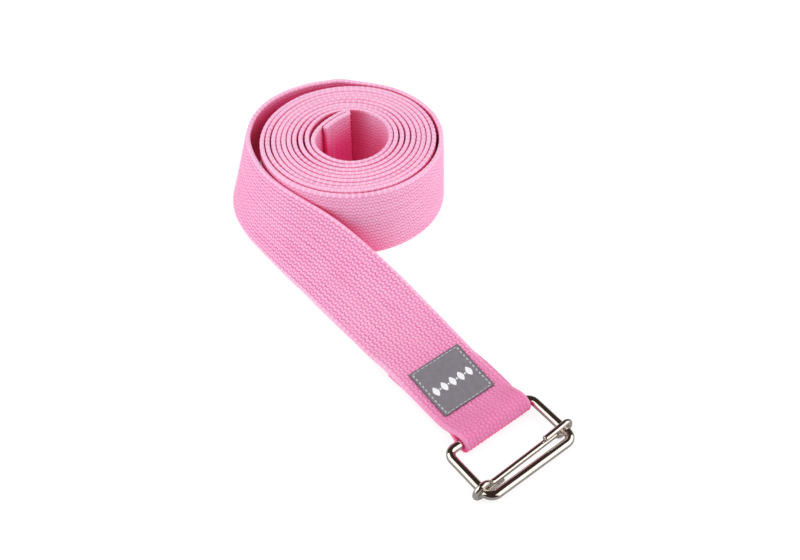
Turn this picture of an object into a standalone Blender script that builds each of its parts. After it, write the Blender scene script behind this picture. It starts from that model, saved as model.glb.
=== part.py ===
"""Cotton stretching strap, wound into a flat coil that stands on its edge.

The free run of the strap leaves the coil, leans over until it lies flat and
ends folded round the cross bar of a wire slide buckle.  World frame: +Z up,
the strap runs towards -Y, everything rests on z = 0.
"""
import math

import bmesh
import bpy
from mathutils import Matrix, Vector

MM = 0.001

# ---- webbing ----
WEB_WIDTH = 38.0
WEB_THICK = 2.2

# ---- coil: an oval spiral, measured on the middle of the webbing ----
COIL_FACING = -37.9          # degrees, direction of the coil's own x axis
COIL_FIRST_RADIUS = 20.75
COIL_PITCH = 2.8
COIL_FIRST_TURN = -0.35
COIL_LAST_TURN = 9.05
COIL_SIDE_SHIFT = 3.0        # the turns sit off centre, across ...
COIL_BACK_SHIFT = 1.35       # ... and backwards, fading out at the rim
COIL_OVAL = 0.10             # extra depth of the innermost turn
STEPS_PER_TURN = 48

# ---- hem at the inner end: folded once, loose end inside the coil ----
HEM_CENTRE = (-0.4, 21.3)
HEM_DIRECTION = 38.0
HEM_LAYER_STEP = 2.5
HEM_LENGTH = 17.5
HEM_LEAVES = 16.7            # how strongly the band keeps straight past the hairpin ...
HEM_JOINS = 19.3             # ... and before it joins the first turn
HEM_SEAM_INSET = 5.5

# ---- the run from the coil to the label ----
# lower edge of the strap: x, y, lean from upright in degrees, lift
RUN = (
    (30.2, 38.8, 0.0, 0.0),
    (19.4, 46.2, 0.5, 0.0),
    (7.1, 51.4, 1.8, 0.0),
    (-6.7, 54.1, 4.0, 0.0),
    (-21.7, 53.6, 7.5, 0.0),
    (-36.3, 47.9, 11.5, 0.0),
    (-48.1, 37.4, 15.0, 0.0),
    (-56.6, 22.0, 21.0, 0.0),
    (-60.0, 4.0, 28.0, 0.0),
    (-60.8, -14.0, 33.0, 0.0),
    (-61.0, -32.0, 45.0, 0.0),
    (-60.7, -50.0, 57.0, 0.0),
    (-60.4, -68.0, 64.0, 0.0),
    (-60.2, -84.0, 72.0, 0.2),
    (-60.3, -98.0, 79.0, 1.0),
    (-60.2, -109.0, 85.5, 2.7),
    (-60.1, -118.0, 90.0, 2.95),
)
RUN_STEP = 5.0

# ---- flat end: two layers, folded round the buckle ----
FLAT_EDGE_X = -60.1
UPPER_LAYER_Z = 4.05
LOWER_LAYER_Z = 1.75
FOLD_END_Y = -113.2
FLAT_START_Y = -121.0
LOOP_RISE_Y = -150.0
LOOP_GAP = 0.4

# ---- buckle ----
WIRE_RADIUS = 2.0
FRAME_CENTRE_X = -43.1
FRAME_HALF_WIDTH = 23.65
CROSS_BAR_Y = -163.5
FRAME_LENGTH = 27.0
FRAME_CORNER = 4.0
FRAME_HEIGHT = 5.0

SLIDE_RADIUS = 1.3
SLIDE_FROM_CROSS_BAR = 21.5
SLIDE_SKEW = 1.5
EYE_GAP = 0.3
RAMP_LENGTH = 9.0
TIP_LENGTH = 11.5
TIP_OFFSET = 2.95

# ---- label and seams ----
LABEL_CENTRE = (-40.4, -135.7)
LABEL_ACROSS = 28.4
LABEL_ALONG = 26.0
LABEL_THICK = 0.5
LABEL_CORNER = 0.8
LABEL_GAP = 0.15
SEAM_INSET = 1.3
THREAD_WIDTH = 0.55
THREAD_HEIGHT = 0.34
THREAD_GAP = 0.15
HEM_SEAM_MARGIN = 2.0

PINK = (0.90, 0.30, 0.55, 1.0)
GREY = (0.19, 0.18, 0.20, 1.0)
THREAD_GREY = (0.62, 0.62, 0.64, 1.0)
NICKEL = (0.72, 0.68, 0.62, 1.0)


def clear_scene():
    for obj in list(bpy.data.objects):
        bpy.data.objects.remove(obj, do_unlink=True)


def material(name, colour, roughness, metallic=0.0):
    mat = bpy.data.materials.new(name)
    mat.use_nodes = True
    shader = mat.node_tree.nodes["Principled BSDF"]
    shader.inputs["Base Color"].default_value = colour
    shader.inputs["Roughness"].default_value = roughness
    shader.inputs["Metallic"].default_value = metallic
    mat.diffuse_color = colour
    return mat


def mesh_object(name, verts, faces, mat, location=(0.0, 0.0, 0.0), smooth=None):
    """Closed mesh given in world millimetres, origin moved to location."""
    origin = Vector(location)
    mesh = bpy.data.meshes.new(name)
    mesh.from_pydata([(Vector(v) - origin) * MM for v in verts], [], faces)
    bm = bmesh.new()
    bm.from_mesh(mesh)
    bmesh.ops.recalc_face_normals(bm, faces=bm.faces)
    bm.to_mesh(mesh)
    bm.free()
    mesh.materials.append(mat)
    if smooth is not None:
        mesh.shade_smooth()
        mesh.set_sharp_from_angle(angle=math.radians(smooth))
    obj = bpy.data.objects.new(name, mesh)
    obj.location = origin * MM
    bpy.context.scene.collection.objects.link(obj)
    return obj


def ring_faces(count, sides, closed):
    faces = []
    rounds = count if closed else count - 1
    for i in range(rounds):
        a = i * sides
        b = ((i + 1) % count) * sides
        for k in range(sides):
            n = (k + 1) % sides
            faces.append((a + k, a + n, b + n, b + k))
    if not closed:
        faces.append(tuple(reversed(range(sides))))
        faces.append(tuple((count - 1) * sides + k for k in range(sides)))
    return faces


def sweep(path, flat_normal, half_side, half_normal, sides, closed):
    """Oval bar along a path that lies in the plane of flat_normal."""
    normal = Vector(flat_normal).normalized()
    count = len(path)
    verts = []
    for i, point in enumerate(path):
        before = path[i - 1] if (i > 0 or closed) else point
        after = path[(i + 1) % count] if (i < count - 1 or closed) else point
        heading = (after - before).normalized()
        side = heading.cross(normal).normalized()
        for k in range(sides):
            turn = 2.0 * math.pi * (k + 0.5) / sides
            across = side * (half_side * math.cos(turn))
            verts.append(point + across + normal * (half_normal * math.sin(turn)))
    return verts, ring_faces(count, sides, closed)


def rounded_rectangle(cx, cy, half_x, half_y, radius, steps, z):
    points = []
    corners = ((1, 1, 0.0), (-1, 1, 90.0), (-1, -1, 180.0), (1, -1, 270.0))
    for sx, sy, start in corners:
        ox = cx + sx * (half_x - radius)
        oy = cy + sy * (half_y - radius)
        for i in range(steps + 1):
            turn = math.radians(start + 90.0 * i / steps)
            x = ox + radius * math.cos(turn)
            y = oy + radius * math.sin(turn)
            points.append(Vector((x, y, z)))
    return points


def plate(name, outline, z_low, z_high, mat, location):
    count = len(outline)
    verts = [Vector((p.x, p.y, z_low)) for p in outline]
    verts += [Vector((p.x, p.y, z_high)) for p in outline]
    faces = [tuple(reversed(range(count))), tuple(range(count, 2 * count))]
    for i in range(count):
        n = (i + 1) % count
        faces.append((i, n, count + n, count + i))
    return mesh_object(name, verts, faces, mat, location)


# ---- strap path -------------------------------------------------------------

class Station:
    """One cross-section: lower edge, width direction, outer face direction."""

    def __init__(self, edge, width_dir, outer_dir):
        self.edge = edge
        self.width_dir = width_dir
        self.outer_dir = outer_dir


def facing(x, y):
    turn = math.radians(COIL_FACING)
    rx = x * math.cos(turn) - y * math.sin(turn)
    ry = x * math.sin(turn) + y * math.cos(turn)
    return Vector((rx, ry, 0.0))


def coil_local(turn):
    fade = max(0.0, 1.0 - turn / COIL_LAST_TURN)
    radius = COIL_FIRST_RADIUS + COIL_PITCH * turn
    angle = 2.0 * math.pi * turn
    x = COIL_SIDE_SHIFT + radius * math.cos(angle)
    y = COIL_BACK_SHIFT * fade + (1.0 + COIL_OVAL * fade) * radius * math.sin(angle)
    return Vector((x, y, 0.0))


def coil_point(turn):
    local = coil_local(turn)
    return facing(local.x, local.y)


def bezier(a, b, c, d, t):
    s = 1.0 - t
    return a * s ** 3 + b * (3 * s * s * t) + c * (3 * s * t * t) + d * t ** 3


def hem_points():
    """Loose layer, hairpin and band, from the strap's inner end outwards."""
    along = math.radians(HEM_DIRECTION)
    ahead = Vector((math.cos(along), math.sin(along), 0.0))
    left = Vector((-ahead.y, ahead.x, 0.0))
    centre = Vector((HEM_CENTRE[0], HEM_CENTRE[1], 0.0))
    half_step = HEM_LAYER_STEP / 2.0
    band_top = centre + left * half_step
    start = coil_local(COIL_FIRST_TURN)
    behind = (start - coil_local(COIL_FIRST_TURN + 0.01)).normalized()
    guides = (band_top, band_top - ahead * HEM_LEAVES, start + behind * HEM_JOINS, start)
    band = [bezier(*guides, i / 24.0) for i in range(24)]
    loose = []
    length = 0.0
    for i, point in enumerate(band[:-1]):
        heading = (band[i + 1] - point).normalized()
        loose.append(point + Vector((-heading.y, heading.x, 0.0)) * HEM_LAYER_STEP)
        if i > 0:
            length += (loose[i] - loose[i - 1]).length
        if length > HEM_LENGTH:
            break
    hairpin = []
    for i in range(1, 8):
        turn = math.radians(-90.0 + 180.0 * i / 8.0)
        forward = ahead * (half_step * math.cos(turn))
        hairpin.append(centre + forward + left * (half_step * math.sin(turn)))
    points = list(reversed(loose)) + hairpin + band
    return [facing(p.x, p.y) for p in points]


def catmull(points, i, t):
    p0 = points[max(0, i - 1)]
    p1 = points[i]
    p2 = points[i + 1]
    p3 = points[min(len(points) - 1, i + 2)]
    out = []
    for a, b, c, d in zip(p0, p1, p2, p3):
        bend = 2 * a - 5 * b + 4 * c - d
        twist = 3 * b - a - 3 * c + d
        out.append(0.5 * (2 * b + (c - a) * t + bend * t * t + twist * t ** 3))
    return out


def run_rows():
    """RUN, joined smoothly to the end of the spiral, at even steps."""
    lead = []
    for back in (0.25, 0.125, 0.0):
        p = coil_point(COIL_LAST_TURN - back)
        lead.append((p.x, p.y, 0.0, 0.0))
    bridge = facing(49.2 * math.cos(math.radians(54)), 49.2 * math.sin(math.radians(54)))
    rows = lead + [(bridge.x, bridge.y, 0.0, 0.0)] + list(RUN)
    dense = []
    for i in range(2, len(rows) - 1):
        for k in range(24):
            dense.append(catmull(rows, i, k / 24.0))
    dense.append(list(rows[-1]))
    out = []
    travelled = 0.0
    for a, b in zip(dense[:-1], dense[1:]):
        travelled += math.hypot(b[0] - a[0], b[1] - a[1])
        if travelled >= RUN_STEP:
            out.append(b)
            travelled = 0.0
    return out


def upright_stations(points):
    up = Vector((0.0, 0.0, 1.0))
    stations = []
    for i, point in enumerate(points):
        before = points[max(0, i - 1)]
        after = points[min(len(points) - 1, i + 1)]
        heading = (after - before).normalized()
        stations.append(Station(point, up, heading.cross(up)))
    return stations


def run_stations(rows):
    up = Vector((0.0, 0.0, 1.0))
    stations = []
    for i, row in enumerate(rows):
        before = rows[max(0, i - 1)]
        after = rows[min(len(rows) - 1, i + 1)]
        flat = Vector((after[0] - before[0], after[1] - before[1], 0.0)).normalized()
        left = Vector((-flat.y, flat.x, 0.0))
        lean = math.radians(row[2])
        width_dir = up * math.cos(lean) + left * math.sin(lean)
        height = row[3] + 0.5 * WEB_THICK * math.sin(lean)
        edge = Vector((row[0], row[1], height))
        outer = flat.cross(width_dir).normalized()
        stations.append(Station(edge, width_dir, outer))
    return stations


def smooth_step(t):
    return t * t * (3.0 - 2.0 * t)


def loop_stations():
    """Flat upper layer, round the cross bar, back under as the lower layer."""
    width_dir = Vector((1.0, 0.0, 0.0))
    radius = WIRE_RADIUS + LOOP_GAP + 0.5 * WEB_THICK
    profile = [(FLAT_START_Y, UPPER_LAYER_Z), (LOOP_RISE_Y, UPPER_LAYER_Z)]
    top_z = FRAME_HEIGHT + radius
    for i in range(1, 8):
        t = i / 8.0
        y = LOOP_RISE_Y + (CROSS_BAR_Y - LOOP_RISE_Y) * t
        profile.append((y, UPPER_LAYER_Z + (top_z - UPPER_LAYER_Z) * smooth_step(t)))
    for i in range(0, 17):
        turn = math.radians(90.0 + 180.0 * i / 16.0)
        y = CROSS_BAR_Y + radius * math.cos(turn)
        profile.append((y, FRAME_HEIGHT + radius * math.sin(turn)))
    bottom_z = FRAME_HEIGHT - radius
    for i in range(1, 5):
        t = i / 4.0
        y = CROSS_BAR_Y + 12.0 * t
        profile.append((y, bottom_z + (LOWER_LAYER_Z - bottom_z) * smooth_step(t)))
    profile.append((FOLD_END_Y, LOWER_LAYER_Z))
    stations = []
    for i, (y, z) in enumerate(profile):
        y0, z0 = profile[max(0, i - 1)]
        y1, z1 = profile[min(len(profile) - 1, i + 1)]
        heading = Vector((0.0, y1 - y0, z1 - z0)).normalized()
        outer = heading.cross(width_dir)
        stations.append(Station(Vector((FLAT_EDGE_X, y, z)), width_dir, outer))
    return stations


def strip(stations):
    half = 0.5 * WEB_THICK
    verts = []
    for s in stations:
        far = s.edge + s.width_dir * WEB_WIDTH
        verts.append(s.edge + s.outer_dir * half)
        verts.append(far + s.outer_dir * half)
        verts.append(far - s.outer_dir * half)
        verts.append(s.edge - s.outer_dir * half)
    return verts, ring_faces(len(stations), 4, False)


def build_webbing(mat):
    hem = hem_points()
    turns = COIL_LAST_TURN - COIL_FIRST_TURN
    steps = int(round(turns * STEPS_PER_TURN))
    spiral = [coil_point(COIL_FIRST_TURN + turns * i / steps) for i in range(steps + 1)]
    rows = run_rows()
    first = rows[0]
    upright = hem + spiral
    stations = upright_stations(upright + [Vector((first[0], first[1], 0.0))])[:-1]
    stations += run_stations(rows)
    stations += loop_stations()
    verts, faces = strip(stations)
    obj = mesh_object("webbing", verts, faces, mat, smooth=35.0)
    return obj, hem, stations


# ---- buckle -----------------------------------------------------------------

def build_frame(mat):
    centre_y = CROSS_BAR_Y - 0.5 * FRAME_LENGTH
    half_y = 0.5 * FRAME_LENGTH
    path = rounded_rectangle(
        FRAME_CENTRE_X, centre_y, FRAME_HALF_WIDTH, half_y, FRAME_CORNER, 10, FRAME_HEIGHT)
    verts, faces = sweep(path, (0, 0, 1), WIRE_RADIUS, WIRE_RADIUS, 20, True)
    axis = (FRAME_CENTRE_X, CROSS_BAR_Y, FRAME_HEIGHT)
    return mesh_object("buckle_frame", verts, faces, mat, axis, smooth=40.0)


def slide_end():
    """Half of the slide wire: bar middle, over the leg, round it, tip below."""
    leg = -FRAME_HALF_WIDTH
    radius = WIRE_RADIUS + EYE_GAP + SLIDE_RADIUS
    ramp_foot = Vector((leg + RAMP_LENGTH, 0.0, 0.0))
    first = math.radians(60.0)
    touch = Vector((leg + radius * math.cos(first), 0.0, radius * math.sin(first)))
    into = Vector((-math.sin(first), 0.0, math.cos(first)))
    points = [Vector((0.0, 0.0, 0.0)), Vector((leg + 15.0, 0.0, 0.0))]
    guides = (ramp_foot, ramp_foot + Vector((-3.4, 0, 0)), touch - into * 3.2, touch)
    points += [bezier(*guides, i / 8.0) for i in range(8)]
    for i in range(0, 19):
        turn = math.radians(60.0 + 210.0 * i / 18.0)
        points.append(Vector((leg + radius * math.cos(turn), 0.0, radius * math.sin(turn))))
    for i in range(1, 5):
        t = i / 4.0
        z = -radius + (radius - TIP_OFFSET) * smooth_step(t)
        points.append(Vector((leg + TIP_LENGTH * t, 0.0, z)))
    return points


def build_slide(mat, frame):
    near = slide_end()
    far = [Vector((-p.x, -p.y, -p.z)) for p in near]
    path = list(reversed(near)) + far[1:]
    verts, faces = sweep(path, (0, 1, 0), SLIDE_RADIUS, SLIDE_RADIUS, 16, False)
    turn = Matrix.Rotation(math.radians(SLIDE_SKEW), 4, "Z")
    centre = Vector((FRAME_CENTRE_X, CROSS_BAR_Y - SLIDE_FROM_CROSS_BAR, FRAME_HEIGHT))
    verts = [turn @ v + centre for v in verts]
    obj = mesh_object("slide_bar", verts, faces, mat, centre, smooth=40.0)
    obj.parent = frame
    obj.location = (centre - Vector((FRAME_CENTRE_X, CROSS_BAR_Y, FRAME_HEIGHT))) * MM
    return obj


# ---- label and seams --------------------------------------------------------

def build_label(mat):
    cx, cy = LABEL_CENTRE
    low = UPPER_LAYER_Z + 0.5 * WEB_THICK + LABEL_GAP
    outline = rounded_rectangle(
        cx, cy, 0.5 * LABEL_ACROSS, 0.5 * LABEL_ALONG, LABEL_CORNER, 4, 0.0)
    centre = (cx, cy, low)
    return plate("label", outline, low, low + LABEL_THICK, mat, centre)


def build_label_seam(name, middle_z, mat):
    cx, cy = LABEL_CENTRE
    half_x = 0.5 * LABEL_ACROSS - SEAM_INSET
    half_y = 0.5 * LABEL_ALONG - SEAM_INSET
    path = rounded_rectangle(cx, cy, half_x, half_y, 0.8, 4, middle_z)
    verts, faces = sweep(path, (0, 0, 1), 0.5 * THREAD_WIDTH, 0.5 * THREAD_HEIGHT, 8, True)
    return mesh_object(name, verts, faces, mat, (cx, cy, middle_z), smooth=50.0)


def build_hem_seam(name, foot, outward, mat):
    """Upright bead of thread standing off one face of the hem."""
    centre = foot + outward * (THREAD_GAP + 0.5 * THREAD_HEIGHT)
    low = HEM_SEAM_MARGIN
    high = WEB_WIDTH - HEM_SEAM_MARGIN
    steps = 6
    path = []
    for i in range(steps + 1):
        z = low + (high - low) * i / steps
        path.append(Vector((centre.x, centre.y, z)))
    verts, faces = sweep(path, outward, 0.5 * THREAD_WIDTH, 0.5 * THREAD_HEIGHT, 8, False)
    return mesh_object(name, verts, faces, mat, tuple(path[0]), smooth=50.0)


def hem_seam_sites(hem):
    """Points on the loose face and on the band's back face, facing away."""
    travelled = 0.0
    index = 1
    while travelled < HEM_SEAM_INSET:
        travelled += (hem[index] - hem[index - 1]).length
        index += 1
    site = index - 1
    heading = (hem[site + 1] - hem[site - 1]).normalized()
    inward = Vector((heading.y, -heading.x, 0.0))
    front = hem[site] + inward * (0.5 * WEB_THICK)
    back = hem[site] - inward * (HEM_LAYER_STEP + 0.5 * WEB_THICK)
    return front, inward, back, -inward


def main():
    clear_scene()
    cotton = material("cotton_webbing", PINK, 0.85)
    patch = material("woven_label", GREY, 0.8)
    grey_thread = material("grey_thread", THREAD_GREY, 0.7)
    pink_thread = material("pink_thread", PINK, 0.7)
    nickel = material("nickel_wire", NICKEL, 0.16, 1.0)

    webbing, hem, stations = build_webbing(cotton)
    frame = build_frame(nickel)
    slide = build_slide(nickel, frame)
    label = build_label(patch)

    upper_face = UPPER_LAYER_Z + 0.5 * WEB_THICK
    needle_z = upper_face + LABEL_GAP + LABEL_THICK + THREAD_GAP + 0.5 * THREAD_HEIGHT
    bobbin_z = LOWER_LAYER_Z - 0.5 * WEB_THICK - THREAD_GAP - 0.5 * THREAD_HEIGHT
    needle = build_label_seam("label_needle_thread", needle_z, grey_thread)
    bobbin = build_label_seam("label_bobbin_thread", bobbin_z, grey_thread)

    front, face_in, back, face_out = hem_seam_sites(hem)
    hem_front = build_hem_seam("hem_needle_thread", front, face_in, pink_thread)
    hem_back = build_hem_seam("hem_bobbin_thread", back, face_out, pink_thread)

    roots = (webbing, frame, label, needle, bobbin, hem_front, hem_back)
    bpy.context.view_layer.update()
    corners = []
    for obj in roots + (slide,):
        corners += [obj.matrix_world @ v.co for v in obj.data.vertices]
    low = [min(c[i] for c in corners) for i in range(3)]
    high = [max(c[i] for c in corners) for i in range(3)]
    shift = Vector((-(low[0] + high[0]) / 2.0, -(low[1] + high[1]) / 2.0, -low[2]))
    for obj in roots:
        obj.location = obj.location + shift
    length = 0.0
    for a, b in zip(stations[:-1], stations[1:]):
        middle_a = a.edge + a.width_dir * (WEB_WIDTH / 2.0)
        middle_b = b.edge + b.width_dir * (WEB_WIDTH / 2.0)
        length += (middle_b - middle_a).length
    print("webbing length mm", round(length, 1))
    print("shift mm", [round(v / MM, 3) for v in shift])
    print("size mm", [round((high[i] - low[i]) / MM, 2) for i in range(3)])


main()
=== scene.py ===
"""Looks of the cotton stretching strap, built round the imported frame.

The webbing is one woven strip.  It is laid out in strap coordinates, which are
the distance along it, the distance across it and the height off its middle,
and the label and every stitch are placed in the same coordinates.
Lengths are in millimetres until a mesh is made.
"""
import math

import bpy
import numpy as np
from mathutils import Matrix, Vector


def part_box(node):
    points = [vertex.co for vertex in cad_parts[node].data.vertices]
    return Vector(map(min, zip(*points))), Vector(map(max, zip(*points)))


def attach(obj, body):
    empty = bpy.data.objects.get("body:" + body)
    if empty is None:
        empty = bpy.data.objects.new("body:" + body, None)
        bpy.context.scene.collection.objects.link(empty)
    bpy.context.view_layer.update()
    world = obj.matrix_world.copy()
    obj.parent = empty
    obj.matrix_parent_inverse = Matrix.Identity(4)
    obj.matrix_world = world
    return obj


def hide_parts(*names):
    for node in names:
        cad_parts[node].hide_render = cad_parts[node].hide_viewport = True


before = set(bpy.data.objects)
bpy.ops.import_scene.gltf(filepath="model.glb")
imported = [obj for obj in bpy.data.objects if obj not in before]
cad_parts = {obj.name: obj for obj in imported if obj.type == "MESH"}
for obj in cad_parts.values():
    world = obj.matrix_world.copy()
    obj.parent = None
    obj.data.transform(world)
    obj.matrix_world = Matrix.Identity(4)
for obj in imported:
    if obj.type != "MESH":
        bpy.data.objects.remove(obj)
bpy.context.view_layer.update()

MM = 0.001

# ---- webbing ----
WEB_WIDTH = 38.0
CAD_HALF_THICK = 1.1
HALF_THICK = 1.17
EDGE_ROUND = 0.9             # how far in the selvedge starts to round off
EDGE_SQUARE = 0.6            # 1 for a round selvedge, less for a squarer one
WEAVE_ALONG = 3.2            # one zigzag of a yarn row, along the strap ...
WEAVE_ACROSS = 2.0           # ... and from one row to the next across it
ZIGZAG = 0.18                # sideways swing of a row, as a share of WEAVE_ACROSS
BUMPS = 0.34                 # share of the relief that breaks each row into bumps
RELIEF = 0.32                # height of a yarn row over the groove beside it
EDGE_PINCH = 0.09            # thickness lost between two weft turns at the selvedge
STATION_STEP = WEAVE_ALONG / 4.0
COLUMN_STEP = WEAVE_ACROSS / 4.0
COLUMNS_EACH_SIDE = 36
HIDDEN_COLUMNS = (2.6, 5.5, 11.0, 19.0, 27.0, 32.5, 35.4)
EDGE_TURNS = (72.0, 45.0, 16.0, -16.0, -45.0, -72.0)

# ---- coil ----
COIL_FACING = -37.9
COIL_FIRST_RADIUS = 20.75
COIL_PITCH = 2.8
COIL_FIRST_TURN = -0.35
COIL_LAST_TURN = 9.05
COIL_SIDE_SHIFT = 3.0
COIL_BACK_SHIFT = 1.35
COIL_OVAL = 0.10
ROWS_PER_TURN = 480
FIRST_HIDDEN_TURN = 0.75
LAST_HIDDEN_TURN = 8.05
CREEP = 0.35                 # how far a turn has crept up past its neighbours
CREEP_ENDS = 8.35            # from this turn on the strap stands on the surface
CREEP_FADE = 0.5
# how far each turn strays outward at its right, back, left and front
STRAY = (
    (0.00, -1.00, 0.50, 0.00),
    (-0.20, -1.30, 1.00, 0.00),
    (0.05, -1.50, 1.40, 0.00),
    (0.30, -1.45, 1.40, 0.00),
    (0.40, -1.35, 1.30, 0.00),
    (0.30, -1.20, 1.10, 0.00),
    (0.05, -1.00, 0.90, 0.00),
    (-0.15, -0.80, 1.10, -0.20),
    (-0.30, -0.50, 0.90, -0.40),
    (0.00, 0.00, 0.00, 0.00),
)
SPLAY = 2.2                  # how far the last turn's foot stands out at the right ...
SPLAY_LEAN = 2.3             # ... with its top leaning back against the turn inside it
SPLAY_FROM = 8.38            # the turn at which that starts
SPLAY_TURNS = 0.4
BRIDGE_RADIUS = 50.0         # one point between the last turn and the run
BRIDGE_TURN = 54.0
BRIDGE_LEAN = 1.6

# ---- hem at the inner end ----
HEM_CENTRE = (-0.4, 21.3)
HEM_DIRECTION = 38.0
HEM_LAYER_STEP = 2.5
HEM_LENGTH = 17.5
HEM_LEAVES = 16.7            # how strongly the band keeps straight past the hairpin ...
HEM_JOINS = 19.3             # ... and before it joins the first turn
HEM_SEAM_INSET = 5.5

# ---- the run from the coil to the label ----
# lower edge of the strap: x, y, lean from upright in degrees, lift
RUN = (
    (30.9, 39.6, 0.6, 0.0),
    (20.0, 47.2, 0.5, 0.0),
    (7.3, 52.1, 1.8, 0.0),
    (-6.7, 54.2, 4.0, 0.0),
    (-21.6, 53.3, 8.2, 0.0),
    (-36.2, 47.7, 13.3, 0.0),
    (-48.2, 37.4, 17.0, 0.0),
    (-57.1, 22.0, 21.2, 0.0),
    (-60.8, 4.0, 22.6, 0.0),
    (-61.3, -14.0, 27.2, 0.0),
    (-61.5, -32.0, 41.0, 0.0),
    (-61.1, -50.0, 56.0, 0.0),
    (-60.7, -68.0, 64.0, 0.0),
    (-60.2, -84.0, 72.0, 0.2),
    (-60.3, -98.0, 79.0, 1.0),
    (-60.2, -109.0, 84.5, 2.5),
    (-60.1, -119.0, 87.3, 2.9),
    (-60.1, -129.0, 89.2, 2.95),
    (-60.1, -139.0, 90.0, 2.95),
)

# ---- flat end ----
FLAT_EDGE_X = -60.1
UPPER_LAYER_Z = 4.05
LOWER_LAYER_Z = 1.75
FOLD_END_Y = -113.2
FLAT_START_Y = -142.0
LOOP_RISE_Y = -142.0
LOOP_RISE_LATE = 2.8         # more than 1 holds the rise back towards the loop
LOOP_SQUEEZE = 0.045         # share of its width the strap gives up in the loop
LOOP_LOWER_BEND = 12.0
LOOP_SPREAD = 18.0
FOLD_OFFSET = 2.4            # how far the lower layer lies to the side of the upper one ...
FOLD_SQUARE = 0.15           # ... and the share of that left at its end
FOLD_SKEW_LENGTH = 27.0
LOOP_GAP = 0.3

# ---- buckle ----
WIRE_RADIUS = 2.0
WIRE_SIDES = 40
WIRE_STEP = 1.2
FRAME_CENTRE_X = -43.35
FRAME_HALF_WIDTH = 23.4
CROSS_BAR_Y = -163.5
FRAME_LENGTH = 27.0
FRAME_CORNER = 4.0
FRAME_HEIGHT = 5.0
SLIDE_RADIUS = 1.32
SLIDE_SIDES = 32
SLIDE_TIP_SIZE = 0.82        # the cut ends are a little thinner than the bar ...
SLIDE_TIP_LENGTH = 0.25      # ... over this length
SLIDE_FROM_CROSS_BAR = 21.5
SLIDE_SKEW = 1.5
EYE_GAP = 0.3
EYE_FROM = 60.0              # where the bar meets the eye, in degrees round the leg ...
EYE_SWEEP = 210.0            # ... and how far round it goes
RAMP_LENGTH = 7.0
TIP_LENGTH = 11.5
TIP_OFFSET = 2.95

# ---- label and seams ----
LABEL_CENTRE = (-40.4, -135.7)
LABEL_ACROSS = 28.4
LABEL_ALONG = 27.4
LABEL_SLIP = 0.6             # how far its middle lies towards the buckle from LABEL_CENTRE
LABEL_SKEW = 1.4             # how far its end near the buckle is sewn off to the side
LABEL_HALF_X = LABEL_ACROSS / 2.0
LABEL_HALF_Y = LABEL_ALONG / 2.0
LABEL_THICK = 0.4
LABEL_LIFT = 0.18
MOTIF_COUNT = 9              # lozenges and dots by turns
MOTIF_STEP = 2.35
MOTIF_OFF_CENTRE = 0.8
MOTIF_LOZENGE = (1.55, 2.6)
MOTIF_DOT = (0.42, 0.6)
MOTIF_SHARPNESS = 1.45
# share of the outline and height over the label, from the motif's foot to its top
MOTIF_LEVELS = ((1.0, -0.05), (1.0, 0.03), (0.93, 0.06), (0.5, 0.065))
SIDE_SEAM_INSET = 1.5
END_SEAM_INSET = 0.9
STITCH_LENGTH = 2.35
THREAD_RADIUS = 0.16
THREAD_HIDDEN = 0.10         # share of a stitch's length lost in the cloth at each end
BOLD_RADIUS = 0.30
BOLD_HIDDEN = 0.22
STITCH_DIP = 0.3
HEM_SEAM_ENDS = 2.2          # from the selvedge to the seam's first and last stitch

BASE_LIFT = 0.013            # how far part.py's own solids are lifted to stand on the surface

# The model's own origin, read off the label, which part.py puts at LABEL_CENTRE.
label_low, label_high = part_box("label")
SHIFT = np.array((
    (label_low.x + label_high.x) / 2.0 / MM - LABEL_CENTRE[0],
    (label_low.y + label_high.y) / 2.0 / MM - LABEL_CENTRE[1],
    BASE_LIFT,
))

# ---- colours, linear ----
PINK = (0.94, 0.42, 0.65)
# PINK_DEEP: random tone of the cloth, and painted shade in the weave's grooves and at the flat
# end
PINK_DEEP = (0.78, 0.17, 0.39)
# PINK_PALE: streaks and selvedge of the cloth, a painted highlight on the yarn tops, and painted
# light on the run
PINK_PALE = (0.99, 0.62, 0.82)
# painted shade in the pits of the weave
PINK_PIT_SHADE = (0.50, 0.05, 0.17)
# painted shade in hollows
PINK_CAVITY_SHADE = (0.95, 0.030, 0.24)
# painted shadow in the crease beside the hem
PINK_CREASE_SHADOW = (0.66, 0.0, 0.085)
GREY = (0.20, 0.185, 0.205)
GREY_MOTTLED = (0.225, 0.20, 0.235)
GREY_GRAIN = (0.15, 0.14, 0.17)
# painted shade along the label's edge
GREY_EDGE_SHADE = (0.07, 0.06, 0.08)
MOTIF_WHITE = (0.93, 0.93, 0.96)
MOTIF_SHADE = (0.80, 0.79, 0.84)
THREAD_GREY = (0.78, 0.76, 0.80)
THREAD_GREY_DEEP = (0.50, 0.48, 0.53)
THREAD_PINK_DEEP = (0.80, 0.17, 0.40)
NICKEL = (0.80, 0.74, 0.67)
NICKEL_WORN = (0.72, 0.66, 0.60)

# ---- zones of the webbing's colour, which are painted light and shade; places are distances along the strap ----
CAVITY_REACH = 40.0          # how far open space is looked for from a hollow ...
CREASE_REACH = 15.0          # ... and from the crease beside the hem
FIRST_TURN_FROM = 150.0      # the hollow's wall passes behind the hem
FIRST_TURN_TO = 190.0
WALL_LIT_AT = 113.0         # painted light: the hollow's wall is palest here ... ... and this far from there it has the full painted cavity shade
WALL_LIT_SPAN = 34.0        # ... and this far from there it has the full cavity colour
WALL_LIT = 0.75
HEM_SHADOW_FROM = 134.0      # painted shadow: the wall darkens towards the hem
HEM_SHADOW_TO = 147.0
HEM_SHADOW = 0.75
RUN_LIGHT_FROM = 2130.0          # painted light: the strap is a little paler up to here ... ... and not at all from here
RUN_LIGHT_TO = 2290.0            # ... and not at all from here
RUN_LIGHT = 0.16
END_SHADE_FROM = 2330.0        # painted shade: the flat end gets darker towards the loop
END_SHADE_TO = 2420.0
END_SHADE = 0.72


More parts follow.
